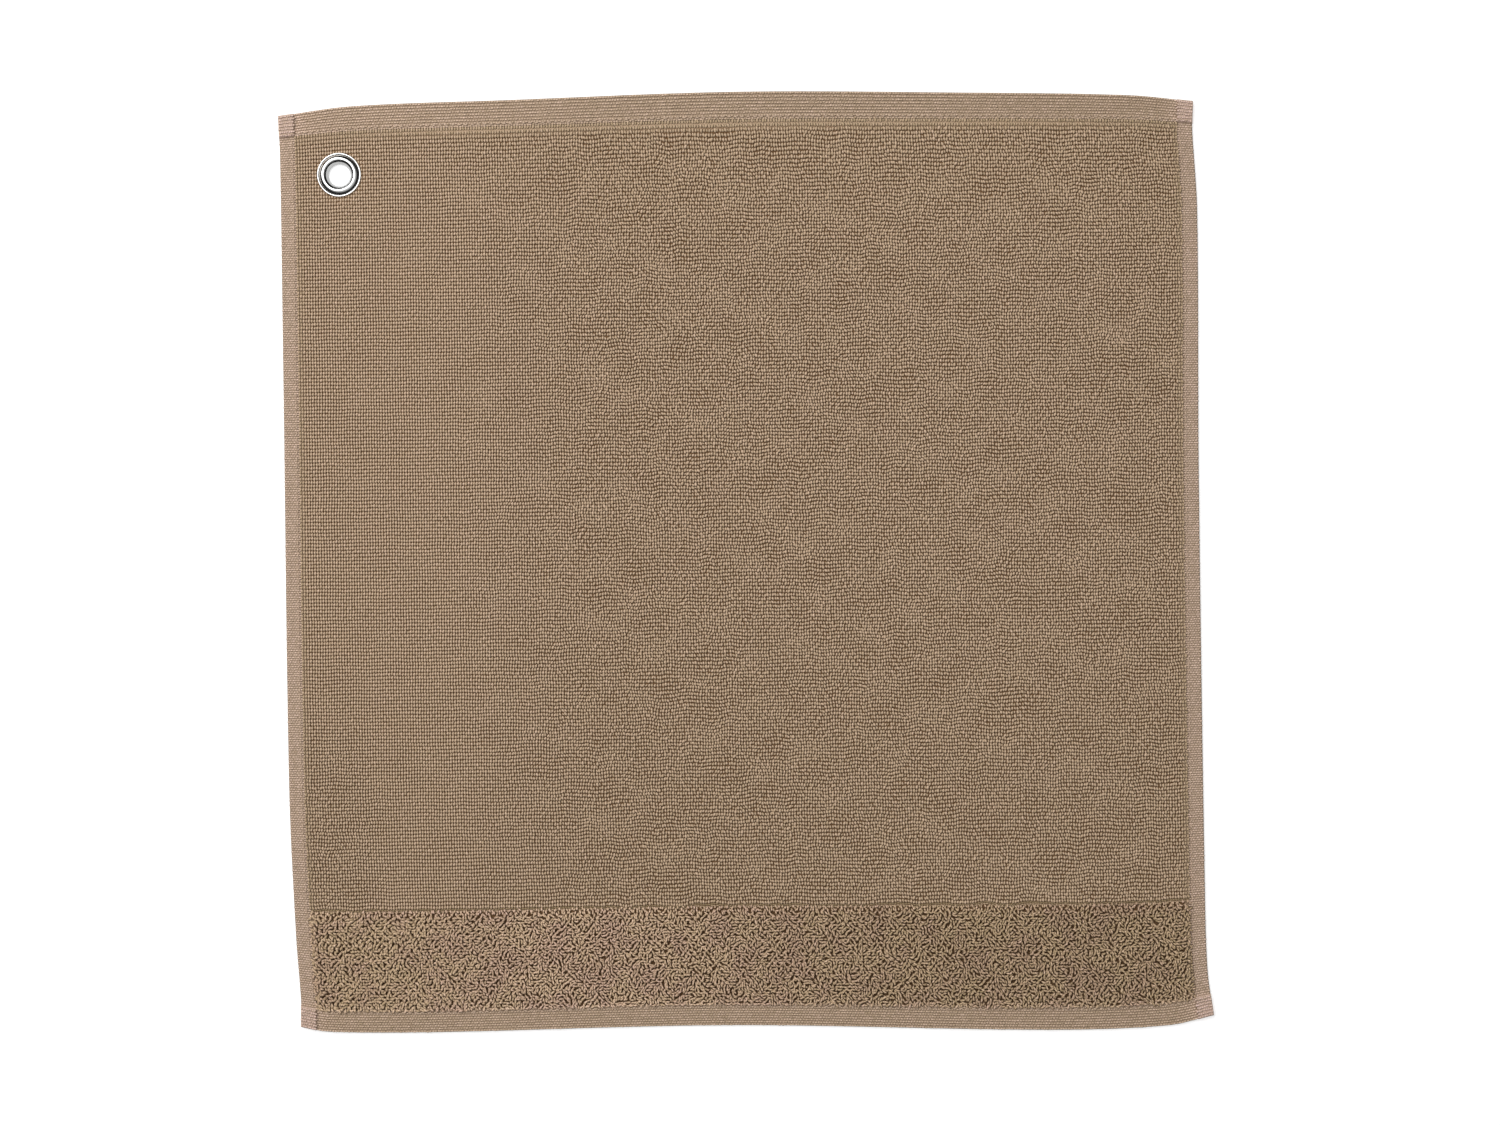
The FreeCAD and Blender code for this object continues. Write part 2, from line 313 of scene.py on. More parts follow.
def flat_weave_lift(across, up):
    """How much higher the ground cloth is where no loops stand on it."""
    return 0.55 * MM * (1 - pile_share(across, up))


def beside_hem(across, up):
    """1 along the hems, where the pile is pressed flat, to 0 a few millimetres away from them."""
    from_side, from_top = np.minimum(across, SIDE - across) - SIDE_HEM, -up - TOP_HEM
    return 1 - smooth(0, 5 * MM, from_side) * smooth(0, 7 * MM, from_top)


# ---------------------------------------------------------------- shapes


def strands(path, wide, thick, sides, tone=1.0, pressed=0.0):
    """Closed strands of yarn along each row of path, whose first and last points are the tips.

    wide and thick are the half-axes at the points in between. Like every shape it gives points, faces,
    each point's crest, from 0 deep in the cloth to 1 on top, by which the shade is painted, and its tone,
    from dark to pale around 1. The feet of pressed strands are painted less dark: their crest starts at
    that share.
    """
    count, rings = path.shape[0], path.shape[1] - 2
    wide, thick = (np.broadcast_to(x, (count, rings))[:, :, None, None] for x in (wide, thick))
    along = path[:, 2:] - path[:, :-2]
    along /= np.linalg.norm(along, axis=2, keepdims=True)
    side = np.stack([-along[..., 1], along[..., 0], np.zeros_like(along[..., 0])], -1)
    side /= np.maximum(np.linalg.norm(side, axis=2, keepdims=True), 1e-9)
    above = np.cross(along, side)
    turn = (np.arange(sides) * TAU / sides)[:, None]
    rim = path[:, 1:-1, None] + wide * np.cos(turn) * side[:, :, None]
    rim = rim + thick * np.sin(turn) * above[:, :, None]
    points = np.concatenate([path[:, :1], rim.reshape(count, -1, 3), path[:, -1:]], 1)
    spot = 1 + np.arange(rings * sides).reshape(rings, sides)
    after = np.roll(spot, -1, 1)
    none, first, last = np.full(sides, -1), np.zeros(sides, int), np.full(sides, rings * sides + 1)
    shell = [np.stack([first, after[0], spot[0], none], -1)]
    shell += [np.stack([a, b, d, c], -1) for a, b, c, d in zip(spot, after, spot[1:], after[1:])]
    shell += [np.stack([spot[-1], after[-1], last, none], -1)]
    shell = np.concatenate(shell)
    shift = np.arange(count)[:, None, None] * points.shape[1]
    faces = np.where(shell < 0, -1, shell + shift)
    low, high = points[..., 2].min(1, keepdims=True), points[..., 2].max(1, keepdims=True)
    tone, pressed = (np.broadcast_to(np.reshape(x, (-1, 1)), points.shape[:2]) for x in (tone, pressed))
    crest = pressed + (1 - pressed) * (points[..., 2] - low) / (high - low)
    return points.reshape(-1, 3), faces.reshape(-1, 4), crest.ravel(), tone.ravel()


def arches(across, up, foot, angle, long, wide, top, tone=1.0, pressed=0.0):
    """Short arched loops of yarn, from foot height up to top, along the given angles."""
    shares = np.array([-0.5, -0.35, 0, 0.35, 0.5])
    lifts = np.array([-0.15, 0.6, 1, 0.6, -0.15])
    flatness, share_of_rise = 0.42, 0.45
    thick = np.minimum(flatness * wide, share_of_rise * (top - foot))
    along = long[:, None] * shares
    path = np.stack(
        [
            across[:, None] + along * np.cos(angle)[:, None],
            up[:, None] + along * np.sin(angle)[:, None],
            foot[:, None] + (top - thick - foot)[:, None] * lifts,
        ],
        -1,
    )
    swell = np.array([0.82, 1, 0.82])
    return strands(path, 0.5 * wide[:, None] * swell, thick[:, None] * swell, 4, tone, pressed)


def slab(across, up, top, low, kept=None, crest=0.0):
    """A closed slab over a grid of the cloth. Cells that aren't kept are holes with walls."""
    grid = np.stack(np.meshgrid(across, up, indexing="ij"), -1)
    points = np.concatenate(
        [np.concatenate([grid, high[..., None]], -1).reshape(-1, 3) for high in (top, low)]
    )
    spot = np.arange(grid.shape[0] * grid.shape[1]).reshape(grid.shape[:2])
    upper = np.stack([spot[:-1, :-1], spot[1:, :-1], spot[1:, 1:], spot[:-1, 1:]], -1)
    upper = upper.reshape(-1, 4) if kept is None else upper[kept]
    edges = np.concatenate([upper[:, [i, (i + 1) % 4]] for i in range(4)])
    code = edges @ (spot.size, 1)
    rim = edges[~np.isin(code, edges[:, ::-1] @ (spot.size, 1))]
    walls = np.stack([rim[:, 0], rim[:, 0] + spot.size, rim[:, 1] + spot.size, rim[:, 1]], -1)
    faces = np.concatenate([upper, upper[:, ::-1] + spot.size, walls])
    return points, faces, np.broadcast_to(crest, len(points)), np.ones(len(points))


def lines(start, end, step):
    """Evenly spaced values from start to end, about step apart."""
    return np.linspace(start, end, max(2, round(abs(end - start) / step) + 1))


def edge_lines(start, end, step):
    """As lines, with more of them near both ends, where a slab is rounded."""
    near = np.array([0, 0.12, 0.35, 0.7, 1.0]) * FOLD_R
    inner = lines(start + 2 * FOLD_R, end - 2 * FOLD_R, step)
    return np.concatenate([start + near, inner, end - near[::-1]])


# The slab's crest sets how dark its painted shade is, seen between the ribs on top of it.
def pillow(across0, across1, up0, up1, height, radius, step, crest=0.45):
    """A closed slab of even height whose rims are rounded."""
    across, up = edge_lines(across0, across1, step), edge_lines(up0, up1, step)
    a, u = np.meshgrid(across, up, indexing="ij")
    inside = np.minimum(np.minimum(a - across0, across1 - a), np.minimum(u - up0, up1 - u))
    drop = radius - np.sqrt(np.maximum(radius**2 - np.clip(radius - inside, 0, radius) ** 2, 0))
    return slab(across, up, height - drop, HEM_LOW + drop, crest=crest)


# ---------------------------------------------------------------- pieces


def piece(name, parts, material, slot, *nodes, seen_from=1, laid=True):
    """Makes one object of the parts, laid in place with the cloth.

    Its faces go from the least to the most visible from above, or from below with seen_from -1, because
    a flat map of a pile keeps the last of them.
    """
    counts = np.cumsum([0] + [len(part[0]) for part in parts])
    faces = np.concatenate([np.where(part[1] < 0, -1, part[1] + n) for part, n in zip(parts, counts)])
    points, crest, tone = (np.concatenate([part[i] for part in parts]) for i in (0, 2, 3))
    used, faces_used = np.unique(faces[faces >= 0], return_inverse=True)
    faces[faces >= 0] = faces_used
    points = lay(points[used]) if laid else points[used]
    faces = faces[np.argsort(seen_from * points[faces[:, :3], 2].mean(1), kind="stable")]
    corners = faces >= 0
    low, high = points[:, :2].min(0), points[:, :2].max(0)
    places = 0.01 + 0.98 * (points[:, :2] - low) / (high - low)
    mesh = bpy.data.meshes.new(name)
    mesh.vertices.add(len(points))
    mesh.vertices.foreach_set("co", points.astype(np.float32).ravel())
    mesh.loops.add(int(corners.sum()))
    mesh.loops.foreach_set("vertex_index", faces[corners].astype(np.int32))
    mesh.polygons.add(len(faces))
    starts = np.concatenate([[0], np.cumsum(corners.sum(1))[:-1]])
    mesh.polygons.foreach_set("loop_start", starts.astype(np.int32))
    mesh.update(calc_edges=True)
    mesh.shade_smooth()
    flat_map = mesh.uv_layers.new(name="OFBake")
    flat_map.uv.foreach_set("vector", places[faces[corners]].astype(np.float32).ravel())
    for key, values in (("crest", crest[used]), ("tone", tone[used])):
        layer = mesh.attributes.new(key, "FLOAT", "POINT")
        layer.data.foreach_set("value", values.astype(np.float32))
    mesh.materials.append(material)
    made = bpy.data.objects.new(name, mesh)
    bpy.context.scene.collection.objects.link(made)
    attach(made, "root")
    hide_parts(*nodes)
    return made


def in_tiles(count_across, count_up, columns, rows):
    """Index arrays that share a lattice of loops between tiles, so that no mesh is too large."""
    spot = np.arange(count_across * count_up).reshape(count_across, count_up)
    for strip in np.array_split(spot, columns, 0):
        yield from (tile.ravel() for tile in np.array_split(strip, rows, 1))


# ---------------------------------------------------------------- materials


class Finish:
    """A node material under construction."""

    def __init__(self, name):
        self.material = bpy.data.materials.new(name)
        self.material.use_nodes = True
        self.tree = self.material.node_tree
        self.shader = self.tree.nodes["Principled BSDF"]
        self.place = self.node("ShaderNodeTexCoord").outputs["Object"]

    def node(self, kind, links=(), **settings):
        """Adds a node; links are pairs of an input's name or number and a value or an output."""
        made = self.tree.nodes.new(kind)
        for key, value in settings.items():
            setattr(made, key, value)
        for key, value in links:
            if isinstance(value, bpy.types.NodeSocket):
                self.tree.links.new(value, made.inputs[key])
            else:
                made.inputs[key].default_value = value
        return made

    def noise(self, size, detail=2.0):
        """Noise with spots of about this size, in metres, from 0 to 1."""
        links = [("Vector", self.place), ("Scale", 1 / size), ("Detail", detail)]
        return self.node("ShaderNodeTexNoise", links).outputs["Fac"]

    def span(self, value, low, high, to_low, to_high):
        """Turns a value that runs from low to high into one from to_low to to_high."""
        limits = [("Value", value), (1, low), (2, high), (3, to_low), (4, to_high)]
        return self.node("ShaderNodeMapRange", limits).outputs[0]

    def mix(self, factor, first, second, way="MIX"):
        """Mixes two colours."""
        links = [(0, factor), (6, first), (7, second)]
        mixed = self.node("ShaderNodeMix", links, data_type="RGBA", blend_type=way)
        return mixed.outputs[2]

    def use(self, **sockets):
        """Sets or links the shader's sockets."""
        for name, value in sockets.items():
            socket = self.shader.inputs[name.replace("_", " ")]
            if isinstance(value, bpy.types.NodeSocket):
                self.tree.links.new(value, socket)
            else:
                socket.default_value = value

    def bump(self, height, strength, depth):
        links = [("Height", height), ("Strength", strength), ("Distance", depth)]
        self.use(Normal=self.node("ShaderNodeBump", links).outputs[0])


def cotton(name, tips, deep, uneven=0.1, mottle=0.06, cast=(0.50, 0.33, 0.26), pale_from=0.8):
    """Cotton yarn: painted shade deep between the loops, uneven from loop to loop, a little mottled.

    deep is how much of the colour the painted shade leaves at the feet of the loops, where it is warmer,
    pale_from the crest at which the colour is whole, and cast the colour of the mottling. Yarn of a darker
    tone is also warmer.
    """
    finish = Finish(name)
    crest, tone = (
        finish.node("ShaderNodeAttribute", attribute_name=key).outputs["Fac"] for key in ("crest", "tone")
    )
    patch = finish.span(finish.noise(14 * MM, 3.0), 0.42, 0.64, 0.0, mottle)
    yarn = finish.mix(patch, (*tips, 1.0), (*cast, 1.0))
    grain = finish.span(finish.noise(0.9 * MM, 3.0), 0.3, 0.7, 1 - uneven, 1 + uneven)
    tone = finish.node("ShaderNodeMath", [(0, grain), (1, tone)], operation="MULTIPLY").outputs[0]
    faded = finish.node("ShaderNodeMath", [(0, tone), (1, 1.35)], operation="POWER").outputs[0]
    paler = finish.node("ShaderNodeCombineXYZ", [(0, tone), (1, tone), (2, faded)]).outputs[0]
    yarn = finish.mix(1.0, yarn, paler, "MULTIPLY")
    # Painted shade: by the crest attribute, the feet of the loops are darker and warmer.
    shaded = finish.mix(1.0, yarn, (deep, 0.74 * deep, 0.5 * deep, 1.0), "MULTIPLY")
    finish.use(Base_Color=finish.mix(finish.span(crest, 0.1, pale_from, 0.0, 1.0), shaded, yarn))
    finish.use(Roughness=finish.span(finish.noise(0.8 * MM), 0.3, 0.7, 0.84, 0.98))
    finish.use(Specular_IOR_Level=0.12, Sheen_Weight=0.03, Sheen_Roughness=0.5)
    finish.bump(finish.noise(0.3 * MM, 3.0), 0.35, 0.08 * MM)
    return finish.material


def nickel(name, tint, painted_crease_shade=False):
    """Bright nickel plate, dulled a little by fine scuffs. It can also be painted dark where its crest is
    low, as painted shade and painted dark reflections in its creases.
    """
    finish = Finish(name)
    scuffs = finish.noise(0.9 * MM, 4.0)
    cloud = finish.span(finish.noise(5 * MM), 0.3, 0.7, 0.97, 1.0)
    bright = finish.mix(cloud, tuple(0.9 * c for c in tint) + (1.0,), (*tint, 1.0))
    finish.use(Metallic=1.0, Roughness=finish.span(scuffs, 0.35, 0.75, 0.07, 0.16))
    # Painted shade and painted dark reflections, where the crest is low.
    if painted_crease_shade:
        crest = finish.node("ShaderNodeAttribute", attribute_name="crest").outputs["Fac"]
        bright = finish.mix(crest, tuple(0.05 * c for c in tint) + (1.0,), bright)
    finish.use(Base_Color=bright)
    finish.bump(scuffs, 0.05, 0.02 * MM)
    return finish.material


# ---------------------------------------------------------------- operators


class TOWEL_OT_ground_cloth(Operator):
    """Weaves the ground cloth that carries the pile, with the hole that the eyelet clamps"""

    bl_idname = "towel.ground_cloth"
    bl_label = "Ground cloth"

    def execute(self, context):
        colours = context.scene.towel_colours
        sides, rows, cell = (2.5 * MM, 497.5 * MM), (-4 * MM, -494 * MM), 2.5 * MM
        across, up = lines(*sides, cell), lines(*rows, cell)[::-1]
        a, u = np.meshgrid(across, up, indexing="ij")
        lift = RELIEF * relief(a, u) + flat_weave_lift(a, u) * smooth(TOP_HEM - MM, TOP_HEM + 1.5 * MM, -u)
        middle = [(x[:-1, :-1] + x[1:, 1:]) / 2 for x in (a, u)]
        kept = from_eyelet(*middle) > CLOTH_HOLE_R + 0.6 * MM
        # Painted shade: the ground cloth seen between the loops is painted dark, less so along the hems,
        # where the pile is pressed flat.
        crest = np.tile(0.6 * beside_hem(a, u).ravel(), 2)
        points, *others = slab(across, up, GROUND_TOP + lift, GROUND_LOW + lift, kept, crest)
        away = points[:, :2] - EYELET
        reach = np.hypot(*away.T)
        inner = reach < CLOTH_HOLE_R + 0.2 * MM
        points[inner, :2] = EYELET + away[inner] * (CLOTH_HOLE_R / np.maximum(reach[inner], MM))[:, None]
        material = cotton("ground_cotton", colours.pile, deep=0.28)
        ground = piece("ground_cloth", [(points, *others)], material, "terry", *CLOTH_NODES)
        context.scene["towel_ground"] = ground.name
        return {"FINISHED"}


class TOWEL_OT_terry_pile(Operator):
    """Raises the terry loops of the field in rows, flattened where the eyelet clamps them"""

    bl_idname = "towel.terry_pile"
    bl_label = "Terry pile"

    def execute(self, context):
        pile, colours = context.scene.towel_pile, context.scene.towel_colours
        rng = np.random.default_rng(21)
        start, end = SIDE_HEM - TUCK, SIDE - SIDE_HEM + TUCK
        first, last = TOP_HEM - 0.5 * MM, GROOVE_ROW + TUCK
        count_across = round((end - start) / pile.end_pitch)
        count_up = round((last - first) / pile.row_pitch)
        across = start + (end - start) * (np.arange(count_across) + 0.5) / count_across
        row = first + (last - first) * (np.arange(count_up) + 0.5) / count_up
        across, up = (x.ravel() for x in np.meshgrid(across, -row, indexing="ij"))
        below_hem = smooth(0, CALM, -up - first)
        free = smooth(0, CALM, np.minimum(across - start, end - across)) * below_hem
        own = [uneven(rng, (count_across, count_up)) for _ in range(5)]
        loose = looseness(across, up)
        sheared = 0.38 * MM * waves(10, 3.8 * MM, 10 * MM)(0.25 * across, up)
        swayed = across + free * 0.2 * MM * sway_across(across, up) + loose * (sheared + 0.08 * MM * own[0])
        up_swayed = up + drift(across, up) * below_hem + 0.06 * MM * own[1]
        slant = waves(4, 6 * MM, 24 * MM)(across, up)
        angle = TAU / 4 + (0.6 * slant + 0.22 * own[2]) * loose - 0.2 * (1 - loose)
        size = 1 + 0.1 * loose * own[3]
        clamped = smooth(FLANGE_R - MM, FLANGE_R + CLAMP_REACH, from_eyelet(across, up))
        stand = (0.4 + 0.6 * pile_share(across, up)) * (0.35 + 0.65 * clamped)
        stand = stand * (1 + 0.12 * loose * own[3])
        foot = ROOT + RELIEF * relief(across, up) + flat_weave_lift(across, up)
        top = foot + (pile.loop_top - GROUND_TOP) * stand
        hemmed = beside_hem(across, up)
        combed = np.maximum(0.8 * (1 - loose), 0.6 * (1 - smooth(0, 0.4 * SIDE, -up)))
        pressed = np.maximum(0.45 * hemmed, combed).clip(0.32)
        # Painted shade: the loops are a little darker towards the bottom, where the light falls off.
        painted_shade_below = 0.045 * smooth(0.4 * SIDE, 0.9 * SIDE, -up)
        tone = 1.04 + 0.06 * own[4] + 0.08 * (1 - loose) - 0.13 * (pressed + hemmed) - painted_shade_below
        wide = pile.loop_width * size * (1.03 - 0.03 * loose)
        material = cotton("terry_cotton", colours.pile, deep=0.16, uneven=0.07)
        kept = from_eyelet(across, up) > FLANGE_R - 0.8 * MM
        for number, tile in enumerate(in_tiles(count_across, count_up, 3, 3), 1):
            t = tile[kept[tile]]
            long = pile.loop_length * size[t]
            loops = arches(
                swayed[t], up_swayed[t], foot[t], angle[t], long, wide[t], top[t], tone[t], pressed[t]
            )
            made = piece(f"terry_pile_{number}", [loops], material, "terry", "terry_field")
        return {"FINISHED"}


class TOWEL_OT_underside_pile(Operator):
    """Adds the pressed loops of the underside, on which the towel lies"""

    bl_idname = "towel.underside_pile"
    bl_label = "Underside pile"

    def execute(self, context):
        pile, colours = context.scene.towel_pile, context.scene.towel_colours
        rng = np.random.default_rng(22)
        count_across = round((SIDE - 2 * SIDE_HEM) / pile.end_pitch)
        count_up = round((BOTTOM_ROW - TOP_HEM) / pile.row_pitch)
        across = SIDE_HEM + (SIDE - 2 * SIDE_HEM) * (np.arange(count_across) + 0.5) / count_across
        row = TOP_HEM + (BOTTOM_ROW - TOP_HEM) * (np.arange(count_up) + 0.5) / count_up
        across, up = (x.ravel() for x in np.meshgrid(across, -row, indexing="ij"))
        kept = from_eyelet(across, up) > FLANGE_R + 0.3 * MM
        angle = TAU / 4 + 0.4 * waves(5, 7 * MM, 28 * MM)(across, up) + rng.normal(0, 0.22, len(across))
        across = across + 0.2 * MM * sway_across(across, up) + rng.normal(0, 0.1 * MM, len(across))
        up = up + 0.4 * MM * sway_up(across, up) + rng.normal(0, 0.1 * MM, len(across))
        material = cotton("underside_cotton", colours.pile, deep=0.9)
        ends_high, middle_high = 0.7 * MM, 0.52 * MM
        for number, tile in enumerate(in_tiles(count_across, count_up, 2, 2), 1):
            t = tile[kept[tile]]
            half = 0.5 * pile.loop_length * np.stack([np.cos(angle[t]), np.sin(angle[t])], -1)
            middle = np.stack([across[t], up[t]], -1)
            path = np.stack([middle - half, middle, middle + half], 1)
            high = np.broadcast_to([ends_high, middle_high, ends_high], path.shape[:2])
            path = np.concatenate([path, high[..., None]], -1)
            grains = strands(path, wide=0.5 * pile.loop_width, thick=0.45 * MM, sides=4)
            name = f"underside_pile_{number}"
            made = piece(name, [grains], material, "terry", "terry_field", seen_from=-1)
        return {"FINISHED"}


class TOWEL_OT_divider(Operator):
    """Weaves the flat line between the terry field and the band"""

    bl_idname = "towel.divider"
    bl_label = "Divider"

    def execute(self, context):
        pile, colours = context.scene.towel_pile, context.scene.towel_colours
        rng = np.random.default_rng(23)
        across = lines(SIDE_HEM, SIDE - SIDE_HEM, pile.end_pitch)
        rows = -np.array([GROOVE_ROW + 0.6 * MM, GROOVE_ROW + 1.6 * MM])
        across, up = (x.ravel() for x in np.meshgrid(across, rows, indexing="ij"))
        count = len(across)
        foot, tone = np.full(count, ROOT), np.tile((0.6, 0.85), count // 2)
        long, wide, rise = np.full(count, 1.9 * MM), np.full(count, 1.0 * MM), 0.5 * MM
        up = up + drift(across, up)
        grains = arches(across, up, foot, rng.normal(0, 0.08, count), long, wide, foot + rise, tone)
        material = cotton("divider_cotton", colours.pile, deep=0.45)
        piece("divider_weave", [grains], material, "flat_weave", "divider")
        return {"FINISHED"}


class TOWEL_OT_deep_pile(Operator):
    """Raises the long tousled loops of the band, combed into whorls"""

    bl_idname = "towel.deep_pile"
    bl_label = "Deep-pile band"

    def execute(self, context):
        pile, colours = context.scene.towel_pile, context.scene.towel_colours
        rng = np.random.default_rng(24)
        start, end = SIDE_HEM - TUCK, SIDE - SIDE_HEM + TUCK
        first, last = GROOVE_ROW + 1.0 * MM, BOTTOM_ROW + 0.9 * MM
        count_across = round((end - start) / BAND_END_PITCH)
        count_up = round((last - first) / BAND_ROW_PITCH)
        across = start + (end - start) * (np.arange(count_across) + 0.5) / count_across
        row = first + (last - first) * (np.arange(count_up) + 0.5) / count_up
        across, up = (x.ravel() for x in np.meshgrid(across, -row, indexing="ij"))
        count = len(across)
        across = across + 0.34 * MM * uneven(rng, (count_across, count_up))
        up = up + 0.3 * MM * uneven(rng, (count_across, count_up))
        comb, turn = waves(6, 5 * MM, 18 * MM), waves(7, 5 * MM, 18 * MM)
        own = rng.normal(0, 0.45, count)
        from_top = -up - first
        brushed = 1 - smooth(1.2 * MM, 4.5 * MM, from_top)
        reach = pile.band_length * (1 + 0.16 * rng.normal(0, 1, count).clip(-2, 2)) * (1 - 0.35 * brushed)

        def heading(a, u):
            """The way the pile lies: whorls, brushed upwards beside the divider."""
            angle = 0.5 * np.arctan2(turn(a, u), comb(a, u)) + own
            way = np.stack([np.cos(angle), np.sin(angle)], -1)
            upright = np.stack([np.sin(own), np.cos(own)], -1)
            way = way * np.sign((way * upright).sum(-1, keepdims=True) + 1e-9)
            way = (1 - brushed)[:, None] * way + brushed[:, None] * upright
            return way / np.linalg.norm(way, axis=-1, keepdims=True)

        middle = np.stack([across, up], -1)
        steps = np.array([-0.5, -0.4, -0.2, 0.0, 0.2, 0.4, 0.5])
        spots = {3: middle}
        for sense in (-1, 1):
            spot, way = middle, heading(*middle.T)
            for i in range(3, 3 + 3 * sense, sense):
                gap = abs(steps[i + sense] - steps[i]) * reach
                spot = spot + sense * gap[:, None] * way
                spots[i + sense] = spot
                new = heading(*spot.T)
                way = new * np.sign((new * way).sum(-1, keepdims=True) + 1e-9)
        path = np.stack([spots[i] for i in range(7)], 1)
        stand = 1 - 0.4 * brushed - 0.42 * smooth(last - 6 * MM, last, -up)
        edge = smooth(0, 3 * MM, np.minimum(across - start, end - across))
        stand = stand * (0.5 + 0.5 * edge) * (1 + 0.16 * rng.normal(0, 1, count).clip(-2, 2))
        stand = stand * (1 + 0.10 * waves(8, 4 * MM, 14 * MM)(across, up))
        matted = 1 - smooth(0.08 * SIDE, 0.3 * SIDE, across)
        thick = 0.40 * pile.band_width
        rise = (pile.band_top - thick - ROOT) * stand.clip(0.3, 1.1)
        lifts = np.array([-0.1, 0.45, 0.86, 1.0, 0.86, 0.45, -0.1])
        high = ROOT + rise[:, None] * lifts
        path = np.concatenate([path, high[..., None]], -1)
        wide = 0.5 * pile.band_width * np.array([0.72, 0.95, 1.0, 0.95, 0.72])
        spread = 1 + 0.2 * matted[:, None]
        # Painted shade: the band is up to a fifth darker towards the right, where the light falls off.
        painted_shade_right = 0.2 * smooth(0.25 * SIDE, 0.75 * SIDE, across)
        paler_rim = 0.12 * smooth(last - 4 * MM, last, -up)
        tone = 1 + 0.1 * uneven(rng, (count_across, count_up)) + 0.1 * brushed
        tone = tone - painted_shade_right + paler_rim - 0.14 * matted
        pressed = 0.2 + 0.2 * matted
        material = cotton(
            "band_cotton", colours.band, deep=0.34, uneven=0.15, mottle=0.34, cast=(0.44, 0.27, 0.24),
            pale_from=1.0,
        )
        for number, t in enumerate(in_tiles(count_across, count_up, 4, 1), 1):
            loops = strands(
                path[t], wide * spread[t], thick * wide / wide.max(), 5, tone[t], pressed[t]
            )
            made = piece(f"deep_pile_{number}", [loops], material, "deep_pile", "deep_pile_band")
        return {"FINISHED"}


def ribs(sides, rows, pitches, rng, foot, rise, lean=0.0, pale=0.0):
    """Ribs of a hem, bead after bead, between two sides and two rows. pitches go across and down.

    pale is how much paler they are at the left edge of the cloth than in its middle.
    """
    (start, end), (first, last), (bead, pitch) = sides, rows, pitches
    count_up, count_across = max(1, round((last - first) / pitch)), max(1, round((end - start) / bead))
    across = start + (end - start) * (np.arange(count_across) + 0.5) / count_across
    row = first + (last - first) * (np.arange(count_up) + 0.5) / count_up
    across, up = np.meshgrid(across, -row, indexing="ij")
    across = (across + 0.5 * bead * (np.arange(count_up) % 2 - 0.5)).ravel()
    count = len(across)
    across = (across + rng.normal(0, 0.06 * bead, count)).clip(start + 0.35 * bead, end - 0.35 * bead)
    up = up.ravel() + rng.normal(0, 0.04 * pitch, count)
    size = 1 + 0.07 * rng.normal(0, 1, count).clip(-2, 2)
    feet = np.full(count, foot)
    top = feet + rise * (1 + 0.12 * rng.normal(0, 1, count).clip(-2, 2))
    angle = lean + rng.normal(0, 0.07, count)
    tone = 1 + 0.07 * rng.normal(0, 1, count).clip(-2, 2) + pale * (1 - smooth(0, 0.4 * SIDE, across))
    tone = tone + 0.2 * (1 - smooth(SIDE_HEM, 2.4 * SIDE_HEM, np.minimum(across, SIDE - across)))
    return arches(across, up, feet, angle, 1.25 * bead * size, 0.82 * pitch * size, top, tone)


class TOWEL_OT_cross_hems(Operator):
    """Makes the ribbed top and bottom hems with their thicker corners"""

    bl_idname = "towel.cross_hems"
    bl_label = "Top and bottom hems"

    def execute(self, context):
        hems, pile, colours = (
            context.scene.towel_hems,
            context.scene.towel_pile,
            context.scene.towel_colours,
        )
        rng = np.random.default_rng(25)
        weave = cotton("hem_cotton", colours.hem, deep=0.2)
        folded = cotton("corner_cotton", colours.corner, deep=0.45)
        margin = 0.4 * MM
        for name, first, last in (("top_hem", 0, TOP_HEM), ("bottom_hem", BOTTOM_ROW, SIDE)):
            inner, outer = SIDE_HEM, SIDE - SIDE_HEM
            ridge = HEM_T - 0.45 * MM
            strip = [
                pillow(
                    inner - MM, outer + MM, -last, -first, ridge, radius=0.85 * MM, step=2.4 * MM
                ),
                ribs(
                    (inner, outer), (first + 0.1 * MM, last - 0.05 * MM), (pile.end_pitch, hems.rib_pitch),
                    rng, foot=ridge - 0.2 * MM, rise=0.68 * MM, pale=0.12 if name == "top_hem" else 0.0,
                ),
            ]
            piece(f"{name}_weave", strip, weave, "flat_weave", name)
            for side, start, end in (("left", 0, inner), ("right", outer, SIDE)):
                block = CORNER_T - 0.5 * MM
                corner = [
                    pillow(
                        start, end, -last, -first, block, radius=1.0 * MM, step=1.2 * MM, crest=0.75
                    ),
                    ribs(
                        (max(start - 0.5 * MM, margin), min(end + 0.5 * MM, SIDE - margin)),
                        (first + margin, last - 0.2 * MM), (1.25 * MM, hems.corner_pitch),
                        rng, foot=block - 0.15 * MM, rise=0.65 * MM, lean=0.1,
                    ),
                ]
                made = piece(f"{name}_{side}_corner", corner, folded, "flat_weave", name)
        return {"FINISHED"}


